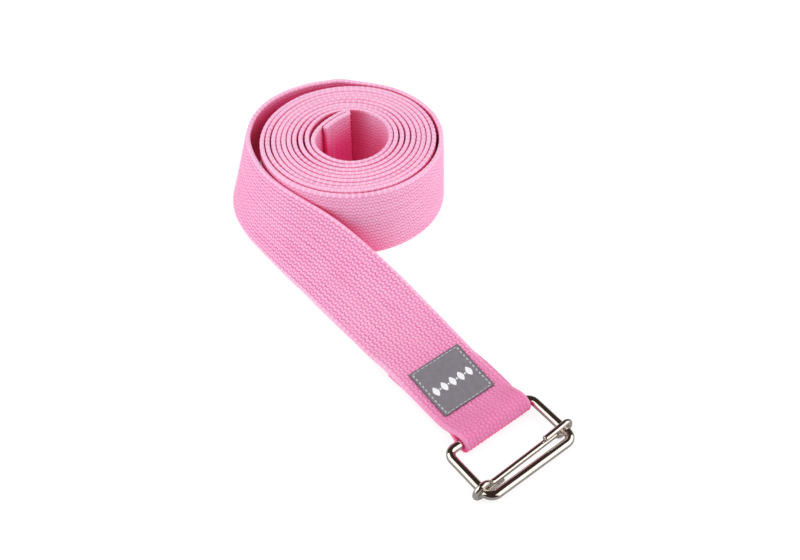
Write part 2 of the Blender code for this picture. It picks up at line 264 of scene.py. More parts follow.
# ---- camera and light -------------------------------------------------------

CAMERA_TURN = -37.9
CAMERA_RISE = 46.44
CAMERA_DISTANCE = 457.2
CAMERA_LENS = 41.49
CAMERA_TARGET = (-7.56, -1.14, 0.0)

# Lights and floor are in metres and watts.
ROOM_LIGHT = 0.42
ROOM_IN_METAL = (0.045, 0.030, 0.024)
# name, turn, rise, distance, size, power, and whether polished metal reflects it
SOFTBOXES = (
    ("softbox_left", -118.0, 30.0, 1.1, (1.5, 1.2), 8.7, True),
    ("softbox_right", 42.0, 30.0, 1.1, (1.5, 1.2), 8.7, True),
    ("fill_top", -37.9, 86.0, 1.2, (1.2, 1.2), 2.9, False),
)
FLOOR_HALF = 3.0
FLOOR_COLOUR = (0.27, 0.27, 0.27)
FLOOR_GLOW = 0.80            # in the open ...
FLOOR_GLOW_IN_METAL = 0.12   # ... and as polished metal reflects it
FLOOR_SHADE_REACH = 0.08     # how near to the strap the glow starts to fade
FLOOR_SHADE_FROM = 0.04      # open share of the sky with no glow ...
FLOOR_SHADE_TO = 0.24        # ... and with the full glow


def toward(turn, rise):
    a = math.radians(turn)
    e = math.radians(rise)
    return Vector((math.sin(a) * math.cos(e), -math.cos(a) * math.cos(e), math.sin(e)))


def aim(obj, target):
    obj.rotation_euler = (Vector(target) - obj.location).to_track_quat("-Z", "Y").to_euler()


def add_camera():
    data = bpy.data.cameras.new("camera")
    data.lens = CAMERA_LENS
    data.clip_start = 0.01
    camera = bpy.data.objects.new("camera", data)
    bpy.context.scene.collection.objects.link(camera)
    target = Vector(CAMERA_TARGET) * MM
    camera.location = target + toward(CAMERA_TURN, CAMERA_RISE) * (CAMERA_DISTANCE * MM)
    aim(camera, target)
    bpy.context.scene.camera = camera


def add_softbox(name, turn, rise, distance, size, power, reflected):
    data = bpy.data.lights.new(name, "AREA")
    data.shape = "RECTANGLE"
    data.size, data.size_y = size
    data.energy = power
    light = bpy.data.objects.new(name, data)
    bpy.context.scene.collection.objects.link(light)
    light.location = toward(turn, rise) * distance
    light.visible_glossy = reflected
    aim(light, (0.0, 0.0, 0.0))


def add_world():
    """White room for everything matte; polished metal sees it dark."""
    world = bpy.data.worlds.new("studio")
    world.use_nodes = True
    bpy.context.scene.world = world
    tree = world.node_tree
    nodes = tree.nodes
    nodes.clear()
    out = nodes.new("ShaderNodeOutputWorld")
    mix = nodes.new("ShaderNodeMixShader")
    path = nodes.new("ShaderNodeLightPath")
    room = nodes.new("ShaderNodeBackground")
    dark = nodes.new("ShaderNodeBackground")
    room.inputs["Color"].default_value = (1.0, 1.0, 1.0, 1.0)
    room.inputs["Strength"].default_value = ROOM_LIGHT
    dark.inputs["Color"].default_value = ROOM_IN_METAL + (1.0,)
    dark.inputs["Strength"].default_value = 1.0
    tree.links.new(path.outputs["Is Glossy Ray"], mix.inputs[0])
    tree.links.new(room.outputs[0], mix.inputs[1])
    tree.links.new(dark.outputs[0], mix.inputs[2])
    tree.links.new(mix.outputs[0], out.inputs[0])


def add_floor():
    """Pale floor with a glow that fades under and close to the strap, a painted shadow."""
    half = FLOOR_HALF
    mesh = bpy.data.meshes.new("floor")
    corners = [(-half, -half, 0), (half, -half, 0), (half, half, 0), (-half, half, 0)]
    mesh.from_pydata(corners, [], [(0, 1, 2, 3)])
    floor = bpy.data.objects.new("floor", mesh)
    bpy.context.scene.collection.objects.link(floor)
    mat = bpy.data.materials.new("floor_white")
    mat.use_nodes = True
    tree = mat.node_tree
    shader = tree.nodes["Principled BSDF"]
    shader.inputs["Base Color"].default_value = FLOOR_COLOUR + (1.0,)
    shader.inputs["Roughness"].default_value = 0.9
    shader.inputs["Specular IOR Level"].default_value = 0.0
    shader.inputs["Emission Color"].default_value = (1.0, 1.0, 1.0, 1.0)
    path = tree.nodes.new("ShaderNodeLightPath")
    # the glow fades where little open sky is seen: a painted shadow under and beside the strap
    open_sky = tree.nodes.new("ShaderNodeAmbientOcclusion")
    open_sky.inputs["Distance"].default_value = FLOOR_SHADE_REACH
    bright = tree.nodes.new("ShaderNodeMapRange")
    bright.inputs["From Min"].default_value = FLOOR_SHADE_FROM
    bright.inputs["From Max"].default_value = FLOOR_SHADE_TO
    bright.inputs["To Max"].default_value = FLOOR_GLOW
    glow = tree.nodes.new("ShaderNodeMapRange")
    glow.inputs["To Max"].default_value = FLOOR_GLOW_IN_METAL
    tree.links.new(open_sky.outputs["AO"], bright.inputs["Value"])
    tree.links.new(bright.outputs[0], glow.inputs["To Min"])
    tree.links.new(path.outputs["Is Glossy Ray"], glow.inputs["Value"])
    tree.links.new(glow.outputs[0], shader.inputs["Emission Strength"])
    mesh.materials.append(mat)


# ---- strap path -------------------------------------------------------------

def facing(x, y):
    """A place in the coil's own plan, turned to where the coil faces."""
    turn = math.radians(COIL_FACING)
    rx = x * math.cos(turn) - y * math.sin(turn)
    ry = x * math.sin(turn) + y * math.cos(turn)
    return Vector((rx, ry, 0.0))


def smooth_step(t):
    t = min(1.0, max(0.0, t))
    return t * t * (3.0 - 2.0 * t)


def catmull(rows, i, t):
    """Smooth curve through the rows, at t between rows i and i + 1."""
    p0 = rows[max(0, i - 1)]
    p1 = rows[i]
    p2 = rows[i + 1]
    p3 = rows[min(len(rows) - 1, i + 2)]
    out = []
    for a, b, c, d in zip(p0, p1, p2, p3):
        bend = 2 * a - 5 * b + 4 * c - d
        twist = 3 * b - a - 3 * c + d
        out.append(0.5 * (2 * b + (c - a) * t + bend * t * t + twist * t ** 3))
    return out


def stray(turn):
    """STRAY as a smooth curve through its quarter turns."""
    knots = [(value,) for quarter in STRAY for value in quarter]
    place = min(max(4.0 * turn, 0.0), len(knots) - 1.001)
    return catmull(knots, int(place), place - int(place))[0]


def coil_local(turn, outward=0.0):
    """The spiral in the coil's own plan, whose turn 0 is at its right."""
    fade = max(0.0, 1.0 - turn / COIL_LAST_TURN)
    radius = COIL_FIRST_RADIUS + COIL_PITCH * turn + outward
    angle = 2.0 * math.pi * turn
    x = COIL_SIDE_SHIFT + radius * math.cos(angle)
    y = COIL_BACK_SHIFT * fade + (1.0 + COIL_OVAL * fade) * radius * math.sin(angle)
    return Vector((x, y, 0.0))


def bezier(a, b, c, d, t):
    s = 1.0 - t
    return a * s ** 3 + b * (3 * s * s * t) + c * (3 * s * t * t) + d * t ** 3


def hem_points():
    """Loose layer, hairpin and band, from the strap's inner end outwards."""
    along = math.radians(HEM_DIRECTION)
    ahead = Vector((math.cos(along), math.sin(along), 0.0))
    left = Vector((-ahead.y, ahead.x, 0.0))
    centre = Vector((HEM_CENTRE[0], HEM_CENTRE[1], 0.0))
    half_step = HEM_LAYER_STEP / 2.0
    band_top = centre + left * half_step
    start = coil_local(COIL_FIRST_TURN)
    behind = (start - coil_local(COIL_FIRST_TURN + 0.01)).normalized()
    guides = (band_top, band_top - ahead * HEM_LEAVES, start + behind * HEM_JOINS, start)
    steps = 160
    band = [bezier(*guides, i / steps) for i in range(steps)]
    loose = []
    length = 0.0
    for i, point in enumerate(band[:-1]):
        heading = (band[i + 1] - point).normalized()
        loose.append(point + Vector((-heading.y, heading.x, 0.0)) * HEM_LAYER_STEP)
        if i > 0:
            length += (loose[i] - loose[i - 1]).length
        if length > HEM_LENGTH:
            break
    hairpin = []
    bends = 24
    for i in range(1, bends):
        turn = math.radians(-90.0 + 180.0 * i / bends)
        forward = ahead * (half_step * math.cos(turn))
        hairpin.append(centre + forward + left * (half_step * math.sin(turn)))
    points = list(reversed(loose)) + hairpin + band
    return [facing(p.x, p.y) for p in points]


def coil_rows():
    """Spiral as rows of x, y, lean, lift."""
    steps = int((COIL_LAST_TURN - COIL_FIRST_TURN) * ROWS_PER_TURN)
    rows = []
    for i in range(steps + 1):
        turn = COIL_FIRST_TURN + (COIL_LAST_TURN - COIL_FIRST_TURN) * i / steps
        splay = smooth_step((turn - SPLAY_FROM) / SPLAY_TURNS)
        local = coil_local(turn, stray(turn) + SPLAY * splay)
        p = facing(local.x, local.y)
        inside = smooth_step(turn) * smooth_step((CREEP_ENDS - turn) / CREEP_FADE)
        lift = CREEP * inside * (0.55 + 0.45 * math.sin(1.7 * turn + 1.0))
        rows.append((p.x, p.y, SPLAY_LEAN * splay, lift))
    return rows


def run_rows(lead):
    """RUN, joined smoothly to the end of the spiral."""
    turn = math.radians(BRIDGE_TURN)
    bridge = facing(BRIDGE_RADIUS * math.cos(turn), BRIDGE_RADIUS * math.sin(turn))
    rows = lead + [(bridge.x, bridge.y, BRIDGE_LEAN, 0.0)] + list(RUN)
    dense = []
    parts = 60
    for i in range(len(lead) - 1, len(rows) - 1):
        for k in range(parts):
            dense.append(catmull(rows, i, k / parts))
    return dense[1:]


def loop_profile():
    """y and z of the flat layer, the loop over the cross bar and the layer below."""
    radius = WIRE_RADIUS + LOOP_GAP + CAD_HALF_THICK
    top_z = FRAME_HEIGHT + radius
    profile = []
    for i in range(0, 48):
        y = FLAT_START_Y + (CROSS_BAR_Y - FLAT_START_Y) * i / 48.0
        t = (y - LOOP_RISE_Y) / (CROSS_BAR_Y - LOOP_RISE_Y)
        rise = smooth_step(t) ** LOOP_RISE_LATE
        profile.append((y, UPPER_LAYER_Z + (top_z - UPPER_LAYER_Z) * rise))
    for i in range(0, 41):
        turn = math.radians(90.0 + 180.0 * i / 40.0)
        y = CROSS_BAR_Y + radius * math.cos(turn)
        profile.append((y, FRAME_HEIGHT + radius * math.sin(turn)))
    bottom_z = FRAME_HEIGHT - radius
    for i in range(1, 49):
        y = CROSS_BAR_Y + (FOLD_END_Y - CROSS_BAR_Y) * i / 48.0
        t = (y - CROSS_BAR_Y) / LOOP_LOWER_BEND
        profile.append((y, bottom_z + (LOWER_LAYER_Z - bottom_z) * smooth_step(t)))
    return profile


def strap_path():
    """Lower edge and width direction of the strap, from its inner end to its fold."""
    up = Vector((0.0, 0.0, 1.0))
    edges = []
    widths = []
    for p in hem_points():
        edges.append(p)
        widths.append(up)
    coil_starts = len(edges)
    spiral = coil_rows()
    lead = [spiral[-1 - ROWS_PER_TURN // 4], spiral[-1 - ROWS_PER_TURN // 8], spiral[-1]]
    rows = spiral + run_rows(lead)
    for i, row in enumerate(rows):
        before = rows[max(0, i - 1)]
        after = rows[min(len(rows) - 1, i + 1)]
        flat = Vector((after[0] - before[0], after[1] - before[1], 0.0)).normalized()
        left = Vector((-flat.y, flat.x, 0.0))
        lean = math.radians(row[2])
        height = row[3] + CAD_HALF_THICK * math.sin(lean)
        edges.append(Vector((row[0], row[1], height)))
        widths.append(up * math.cos(lean) + left * math.sin(lean))
    for y, z in loop_profile():
        under = smooth_step((UPPER_LAYER_Z - z) / (UPPER_LAYER_Z - LOWER_LAYER_Z))
        under *= smooth_step((y - CROSS_BAR_Y) / LOOP_LOWER_BEND)
        from_end = smooth_step((FOLD_END_Y - y) / FOLD_SKEW_LENGTH)
        askew = FOLD_SQUARE + (1.0 - FOLD_SQUARE) * from_end
        edges.append(Vector((FLAT_EDGE_X + FOLD_OFFSET * under * askew, y, z)))
        widths.append(Vector((1.0, 0.0, 0.0)))
    return np.array(edges) + SHIFT, np.array(widths), coil_starts


def smoothed(values, reach):
    """Running mean over reach samples on either side, ends kept."""
    padded = np.concatenate([values[:1]] * reach + [values] + [values[-1:]] * reach)
    size = 2 * reach + 1
    total = np.cumsum(np.concatenate([np.zeros((1, values.shape[1])), padded]), axis=0)
    return (total[size:] - total[:-size]) / size


class Strap:
    """The strap as a ruled surface in strap coordinates."""

    SAMPLE = 0.2

    def __init__(self):
        edges, widths, coil_starts = strap_path()
        middle = edges + widths * (WEB_WIDTH / 2.0)
        steps = np.linalg.norm(np.diff(middle, axis=0), axis=1)
        travelled = np.concatenate([[0.0], np.cumsum(steps)])
        self.length = float(travelled[-1])
        self.coil_marks = travelled[coil_starts:]
        self.at = np.arange(0.0, self.length, self.SAMPLE)
        self.edge = smoothed(self.spread(travelled, edges), 3)
        self.width = smoothed(self.spread(travelled, widths), 3)
        self.width /= np.linalg.norm(self.width, axis=1)[:, None]
        self.edge_slope = smoothed(np.gradient(self.edge, self.SAMPLE, axis=0), 2)
        self.width_slope = smoothed(np.gradient(self.width, self.SAMPLE, axis=0), 2)
        self.bar_at = float(self.at[np.argmin(self.edge[:, 1])])

    def spread(self, travelled, values):
        return np.stack([np.interp(self.at, travelled, values[:, k]) for k in range(3)], axis=1)

    def track(self, values, along):
        return np.stack([np.interp(along, self.at, values[:, k]) for k in range(3)], axis=-1)

    def place(self, along, across, height):
        """Points, in millimetres, for arrays of strap coordinates."""
        along, across, height = np.broadcast_arrays(along, across, height)
        across = across - (across - WEB_WIDTH / 2.0) * self.squeeze(along)
        width = self.track(self.width, along)
        slope = self.track(self.edge_slope, along)
        slope = slope + self.track(self.width_slope, along) * across[..., None]
        normal = np.cross(slope, width)
        normal /= np.linalg.norm(normal, axis=-1)[..., None]
        return (self.track(self.edge, along) + width * across[..., None]
                + normal * height[..., None])

    def squeeze(self, along):
        """Share of the width lost where the strap is gathered round the cross bar."""
        from_bar = (along - self.bar_at) / LOOP_SPREAD
        return LOOP_SQUEEZE * np.exp(-from_bar ** 2)

    def at_turn(self, turn):
        """Distance along, at a turn of the coil."""
        return float(self.coil_marks[int((turn - COIL_FIRST_TURN) * ROWS_PER_TURN)])

    def find(self, y, last):
        """Distance along, where the flat layers pass y; last takes the lower layer."""
        flat = np.abs(self.width[:, 0]) > 0.98
        near = np.where(flat & (np.abs(self.edge[:, 1] - y - SHIFT[1]) < 0.4))[0]
        return float(self.at[near[-1] if last else near[0]])


# ---- meshes -----------------------------------------------------------------

def waves(x, y, phase):
    """Smooth unevenness between about -1 and 1, the same every time."""
    total = 0.0
    for i, (a, b) in enumerate(((1.0, 0.7), (0.63, -1.31), (1.71, 0.43), (-0.37, 1.93))):
        total = total + np.sin(a * x + b * y + phase * (i + 1.7))
    return total / 2.6


def add_mesh(name, points, faces, material):
    mesh = bpy.data.meshes.new(name)
    mesh.from_pydata(np.asarray(points, float) * MM, [], faces)
    mesh.validate()
    mesh.materials.append(material)
    mesh.shade_smooth()
    obj = bpy.data.objects.new(name, mesh)
    bpy.context.scene.collection.objects.link(obj)
    return obj


class Ring:
    """Points of one cross-section: out along one face, round, back, round."""

    def __init__(self, columns):
        columns = np.asarray(columns, float)
        turns = np.radians(EDGE_TURNS)
        reach = EDGE_ROUND * np.cos(turns) ** EDGE_SQUARE
        far = WEB_WIDTH - EDGE_ROUND + reach
        near = EDGE_ROUND - reach
        sides = np.sign(turns) * np.abs(np.sin(turns)) ** EDGE_SQUARE
        ones = np.ones(len(columns))
        self.count = len(columns)
        self.across = np.concatenate([columns, far, columns[::-1], near[::-1]])
        self.side = np.concatenate([ones, sides, -ones, sides[::-1]])
        self.size = len(self.across)


def weave_phase(along, across):
    """Where a point lies in the weave's repeat; the rows wander a little."""
    p = along / WEAVE_ALONG + 0.10 * waves(along / 17.0, across / 9.0, 0.4)
    row = np.clip(across, 1.4, WEB_WIDTH - 1.4) - WEB_WIDTH / 2.0
    q = row / WEAVE_ACROSS + 0.06 * waves(along / 11.0, across / 7.0, 2.2)
    return p, q


def zip_faces(first, second, first_at, second_at):
    """Triangles between two chains of points with different spacing."""
    faces = []
    i = j = 0
    while i < len(first) - 1 or j < len(second) - 1:
        step_first = j == len(second) - 1
        if i < len(first) - 1 and not step_first:
            step_first = abs(first_at[i + 1] - first_at[0]) <= abs(second_at[j + 1] - first_at[0])
        if step_first:
            faces.append((first[i], first[i + 1], second[j]))
            i += 1
        else:
            faces.append((first[i], second[j + 1], second[j]))
            j += 1
    return faces


def join_rings(base_a, ring_a, base_b, ring_b):
    """Faces between two neighbouring cross-sections that may differ in columns."""
    faces = []
    a = [base_a + k for k in range(ring_a.size)]
    b = [base_b + k for k in range(ring_b.size)]
    if ring_a.size == ring_b.size:
        for k in range(ring_a.size):
            n = (k + 1) % ring_a.size
            faces.append((a[k], a[n], b[n], b[k]))
        return faces
    turns = len(EDGE_TURNS)
    starts_a = (0, ring_a.count + turns)
    starts_b = (0, ring_b.count + turns)
    for sa, sb in zip(starts_a, starts_b):
        chain_a = a[sa:sa + ring_a.count]
        chain_b = b[sb:sb + ring_b.count]
        at_a = ring_a.across[sa:sa + ring_a.count]
        at_b = ring_b.across[sb:sb + ring_b.count]
        faces += zip_faces(chain_a, chain_b, at_a, at_b)
        for k in range(turns + 1):
            ka, kb = sa + ring_a.count - 1 + k, sb + ring_b.count - 1 + k
            na, nb = (ka + 1) % ring_a.size, (kb + 1) % ring_b.size
            faces.append((a[ka], a[na], b[nb], b[kb]))
    return faces


def build_webbing(strap, material):
    """The whole strip, with its yarn rows and selvedges in the mesh."""
    middle = WEB_WIDTH / 2.0
    fine = Ring(middle + COLUMN_STEP * np.arange(-COLUMNS_EACH_SIDE, COLUMNS_EACH_SIDE + 1))
    plain = Ring(HIDDEN_COLUMNS)
    first_hidden = strap.at_turn(FIRST_HIDDEN_TURN)
    last_hidden = strap.at_turn(LAST_HIDDEN_TURN)
    count = int(strap.length / STATION_STEP)
    stations = np.arange(count) * STATION_STEP + 0.1
    points = []
    faces = []
    total = 0
    before = None
    for s in stations:
        ring = plain if first_hidden < s < last_hidden else fine
        points.append((np.full(ring.size, s), ring.across, ring.side))
        if before is not None:
            faces += join_rings(before[0], before[1], total, ring)
        before = (total, ring)
        total += ring.size
    faces.append(tuple(reversed(range(fine.size))))
    faces.append(tuple(before[0] + k for k in range(fine.size)))
    along = np.concatenate([p[0] for p in points])
    across = np.concatenate([p[1] for p in points])
    side = np.concatenate([p[2] for p in points])
    p, q = weave_phase(along, across)
    row = np.cos(np.pi * (q - ZIGZAG * np.sin(2.0 * np.pi * p)))
    bumps = np.cos(4.0 * np.pi * p) * row
    yarn = (1.0 - BUMPS) * np.abs(row) + BUMPS * bumps
    depth = RELIEF * (1.0 + 0.25 * waves(along / 5.0, across / 4.0, 1.3))
    edge = np.clip(1.0 - np.minimum(across, WEB_WIDTH - across) / EDGE_ROUND, 0.0, 1.0)
    pinch = EDGE_PINCH * np.clip(2.0 * edge, 0.0, 1.0) * (1.0 + np.sin(4.0 * np.pi * p)) / 2.0
    height = side * (HALF_THICK - pinch + depth * (yarn - 0.55))
    outward = np.where(across > middle, 1.0, -1.0)
    scallop = 0.12 * edge * np.cos(4.0 * np.pi * p)
    ragged = 0.10 * edge * waves(along / 6.0, outward, 3.1)
    placed = strap.place(along, across + outward * (scallop + ragged), height)
    placed[:, 2] = np.maximum(placed[:, 2], 0.02)
    obj = add_mesh("webbing_strap", placed, faces, material)
    weave = obj.data.attributes.new("weave", "FLOAT_VECTOR", "POINT")
    values = np.stack([p, q, side], axis=1).astype(np.float32)
    weave.data.foreach_set("vector", values.ravel())
    return obj


# ---- wires ------------------------------------------------------------------

def tube(path, flat_normal, wide, tall, sides, closed, swell=None):
    """Oval bar along a path; flat_normal is one vector or one for each point."""
    path = np.asarray(path, float)
    count = len(path)
    normals = np.broadcast_to(np.asarray(flat_normal, float), (count, 3))
    if closed:
        heading = np.roll(path, -1, axis=0) - np.roll(path, 1, axis=0)
    else:
        heading = np.gradient(path, axis=0)
    across = np.cross(heading, normals)
    across /= np.linalg.norm(across, axis=1)[:, None]
    swell = np.ones(count) if swell is None else np.asarray(swell, float)
    turns = 2.0 * np.pi * (np.arange(sides) + 0.5) / sides
    wide = (swell * wide)[:, None, None] * np.cos(turns)[None, :, None]
    tall = (swell * tall)[:, None, None] * np.sin(turns)[None, :, None]
    points = path[:, None, :] + across[:, None, :] * wide + normals[:, None, :] * tall
    faces = []
    for i in range(count if closed else count - 1):
        a = i * sides
        b = ((i + 1) % count) * sides
        for k in range(sides):
            n = (k + 1) % sides
            faces.append((a + k, a + n, b + n, b + k))
    if not closed:
        faces.append(tuple(reversed(range(sides))))
        faces.append(tuple((count - 1) * sides + k for k in range(sides)))
    return points.reshape(-1, 3), faces


def merged(parts):
    """Several (points, faces) as one."""
    points, faces, base = [], [], 0
    for part_points, part_faces in parts:
        points.append(part_points)
        faces += [tuple(base + k for k in face) for face in part_faces]
        base += len(part_points)
    return np.concatenate(points), faces


def rounded_rectangle(half_x, half_y, radius, steps):
    points = []
    for sx, sy, start in ((1, 1, 0.0), (-1, 1, 90.0), (-1, -1, 180.0), (1, -1, 270.0)):
        for i in range(steps + 1):
            turn = math.radians(start + 90.0 * i / steps)
            x = sx * (half_x - radius) + radius * math.cos(turn)
            y = sy * (half_y - radius) + radius * math.sin(turn)
            points.append((x, y))
    return points


def filled(points, gap):
    """The closed outline again, with no stretch longer than gap."""
    out = []
    for a, b in zip(points, points[1:] + points[:1]):
        pieces = max(1, int(math.hypot(b[0] - a[0], b[1] - a[1]) / gap))
        for i in range(pieces):
            t = i / pieces
            out.append((a[0] + (b[0] - a[0]) * t, a[1] + (b[1] - a[1]) * t))
    return out


def build_frame(material):
    half_y = FRAME_LENGTH / 2.0
    outline = filled(rounded_rectangle(FRAME_HALF_WIDTH, half_y, FRAME_CORNER, 20), WIRE_STEP)
    centre = np.array((FRAME_CENTRE_X, CROSS_BAR_Y - half_y, FRAME_HEIGHT)) + SHIFT
    path = np.array([(x, y, 0.0) for x, y in outline]) + centre
    points, faces = tube(path, (0, 0, 1), WIRE_RADIUS, WIRE_RADIUS, WIRE_SIDES, True)
    return add_mesh("buckle_wire", points, faces, material)


def slide_end():
    """Half of the slide wire: bar middle, over the leg, round it, tip below."""
    leg = -FRAME_HALF_WIDTH
    radius = WIRE_RADIUS + EYE_GAP + SLIDE_RADIUS
    foot = Vector((leg + RAMP_LENGTH, 0.0, 0.0))
    first = math.radians(EYE_FROM)
    touch = Vector((leg + radius * math.cos(first), 0.0, radius * math.sin(first)))
    into = Vector((-math.sin(first), 0.0, math.cos(first)))
    straight = foot.x + 0.6
    points = [Vector((straight * i / 8.0, 0.0, 0.0)) for i in range(9)]
    guides = (foot, foot + Vector((-3.4, 0, 0)), touch - into * 3.2, touch)
    points += [bezier(*guides, i / 20.0) for i in range(20)]
    for i in range(0, 49):
        turn = math.radians(EYE_FROM + EYE_SWEEP * i / 48.0)
        points.append(Vector((leg + radius * math.cos(turn), 0.0, radius * math.sin(turn))))
    for i in range(1, 17):
        t = i / 16.0
        z = -radius + (radius - TIP_OFFSET) * smooth_step(t)
        points.append(Vector((leg + TIP_LENGTH * t, 0.0, z)))
    return points


def build_slide(material):
    near = slide_end()
    far = [-p for p in near]
    line = list(reversed(near)) + far[1:]
    tip = (line[0] - line[1]).normalized() * SLIDE_TIP_LENGTH
    line = [line[0] + tip] + line + [line[-1] - tip]
    swell = [SLIDE_TIP_SIZE] + [1.0] * (len(line) - 2) + [SLIDE_TIP_SIZE]
    points, faces = tube([tuple(p) for p in line], (0, 1, 0), SLIDE_RADIUS, SLIDE_RADIUS,
                         SLIDE_SIDES, False, swell)
    turn = np.array(Matrix.Rotation(math.radians(SLIDE_SKEW), 3, "Z"))
    centre = (FRAME_CENTRE_X, CROSS_BAR_Y - SLIDE_FROM_CROSS_BAR, FRAME_HEIGHT)
    return add_mesh("slide_wire", points @ turn.T + np.array(centre) + SHIFT, faces, material)


# ---- label and stitches -----------------------------------------------------

def label_height(x, y):
    """Height of the label's face off the webbing's middle; x and y from its centre."""
    puff = 0.05 * waves(x / 3.1, y / 3.4, 0.9) + 0.04 * waves(x / 1.3, y / 1.7, 2.6)
    inset = np.minimum(LABEL_HALF_X - np.abs(x), LABEL_HALF_Y - np.abs(y))
    sewn = 0.10 * np.exp(-((inset - 1.2) / 0.8) ** 2)
    curl = 0.05 * np.clip(1.0 - inset / 0.8, 0.0, 1.0)
    return HALF_THICK + LABEL_LIFT + LABEL_THICK + puff - sewn + curl


def skewed(x, y):
    """Sideways place on the strap of a point of the label."""
    return x - LABEL_SKEW * (y / LABEL_ALONG + 0.5)


def label_corner(x, y):
    """Rounds the label's corners a little."""
    reach = np.minimum(LABEL_HALF_X - np.abs(x), LABEL_HALF_Y - np.abs(y))
    corner = np.maximum(0.0, np.abs(x) / LABEL_HALF_X + np.abs(y) / LABEL_HALF_Y - 1.96)
    pull = 1.0 - 0.35 * corner * (reach < 0.5)
    return x * pull, y * pull


def build_label(strap, along, across, material):
    xs = np.linspace(-LABEL_HALF_X, LABEL_HALF_X, 72)
    ys = np.linspace(-LABEL_HALF_Y, LABEL_HALF_Y, 66)
    x, y = [a.ravel() for a in np.meshgrid(xs, ys)]
    x, y = label_corner(x, y)
    frayed = 0.08 * waves(x * 3.0, y * 3.0, 1.1)
    x = x + np.where(np.abs(x) > LABEL_HALF_X - 0.2, frayed, 0.0)
    sideways = across + skewed(x, y)
    top = strap.place(along + y, sideways, label_height(x, y))
    low = strap.place(along + y, sideways, label_height(x, y) - LABEL_THICK)
    columns, rows = len(xs), len(ys)
    faces = []
    under = columns * rows
    for j in range(rows - 1):
        for i in range(columns - 1):
            a = j * columns + i
            quad = (a, a + 1, a + columns + 1, a + columns)
            faces.append(quad)
            faces.append(tuple(under + k for k in reversed(quad)))
    rim = list(range(columns))
    rim += [j * columns + columns - 1 for j in range(1, rows)]
    rim += [under - 1 - i for i in range(1, columns)]
    rim += [j * columns for j in range(rows - 2, 0, -1)]
    for a, b in zip(rim, rim[1:] + rim[:1]):
        faces.append((b, a, under + a, under + b))
    obj = add_mesh("label_patch", np.concatenate([top, low]), faces, material)
    obj.data.set_sharp_from_angle(angle=math.radians(50))
    cloth = obj.data.attributes.new("cloth", "FLOAT_VECTOR", "POINT")
    values = np.stack([x, y, np.zeros(len(x))], axis=1)
    cloth.data.foreach_set("vector", np.concatenate([values, values]).astype(np.float32).ravel())
    return obj


def build_motif(strap, along, across, material):
    """A plain row of lozenges with a dot between each two."""
    parts = []
    for i in range(MOTIF_COUNT):
        half_x, half_y = MOTIF_LOZENGE if i % 2 == 0 else MOTIF_DOT
        cx = (i - MOTIF_COUNT // 2) * MOTIF_STEP
        turns = np.linspace(0.0, 2.0 * np.pi, 33)[:-1]
        ox = half_x * np.sign(np.cos(turns)) * np.abs(np.cos(turns)) ** MOTIF_SHARPNESS
        oy = half_y * np.sign(np.sin(turns)) * np.abs(np.sin(turns)) ** MOTIF_SHARPNESS
        rings = []
        for share, lift in MOTIF_LEVELS:
            x = cx + ox * share
            y = MOTIF_OFF_CENTRE + oy * share
            height = label_height(x, y) + lift
            rings.append(strap.place(along + y, across + skewed(x, y), height))
        count = len(turns)
        faces = []
        for r in range(len(rings) - 1):
            for k in range(count):
                n = (k + 1) % count
                a, b = r * count, (r + 1) * count
                faces.append((a + k, a + n, b + n, b + k))
        faces.append(tuple((len(rings) - 1) * count + k for k in range(count)))
        faces.append(tuple(reversed(range(count))))
        parts.append((np.concatenate(rings), faces))
    points, faces = merged(parts)
    return add_mesh("label_motif", points, faces, material)


def stitch(strap, start, end, height, radius, hidden):
    """One stitch between two strap coordinates, sinking in at both ends."""
    t = np.linspace(hidden, 1.0 - hidden, 11)
    along = start[0] + (end[0] - start[0]) * t
    across = start[1] + (end[1] - start[1]) * t
    rise = np.clip(np.sin(np.pi * (t - hidden) / (1.0 - 2.0 * hidden)), 0.0, 1.0) ** 0.45
    level = height(along, across) if callable(height) else height
    sign = 1.0 if np.mean(level) > 0 else -1.0
    heights = level + sign * (radius * 0.55 - STITCH_DIP * (1.0 - rise))
    path = strap.place(along, across, heights)
    normal = strap.place(along, across, heights + 1.0) - path
    swell = 0.72 + 0.28 * rise
    return tube(path, normal, radius, radius * 0.85, 10, False, swell)


def seam(name, strap, corners, height, material, bold=()):
    """Stitches of even length along straight stretches between corners.

    The stretches named in bold have short, thick stitches.
    """
    parts = []
    for stretch, (a, b) in enumerate(zip(corners[:-1], corners[1:])):
        radius = BOLD_RADIUS if stretch in bold else THREAD_RADIUS
        hidden = BOLD_HIDDEN if stretch in bold else THREAD_HIDDEN
        length = math.hypot(b[0] - a[0], b[1] - a[1])
        count = max(1, int(round(length / STITCH_LENGTH)))
        for i in range(count):
            wander = [0.06 * math.sin(5.3 * (i + k) + a[0] + 2.0 * a[1]) for k in (0, 1, 2, 3)]
            ends = []
            for k in (0, 1):
                t = (i + k) / count
                along = a[0] + (b[0] - a[0]) * t + wander[k]
                across = a[1] + (b[1] - a[1]) * t + wander[k + 2]
                ends.append((along, across))
            parts.append(stitch(strap, ends[0], ends[1], height, radius, hidden))
    points, faces = merged(parts)
    return add_mesh(name, points, faces, material)


def label_outline(along, across, direction):
    """Corners of the label's seam in strap coordinates."""
    x = LABEL_HALF_X - SIDE_SEAM_INSET
    y = LABEL_HALF_Y - END_SEAM_INSET
    corners = ((-x, -y), (x, -y), (x, y), (-x, y), (-x, -y))
    return [(along + direction * cy, across + skewed(cx, cy)) for cx, cy in corners]


# ---- materials --------------------------------------------------------------

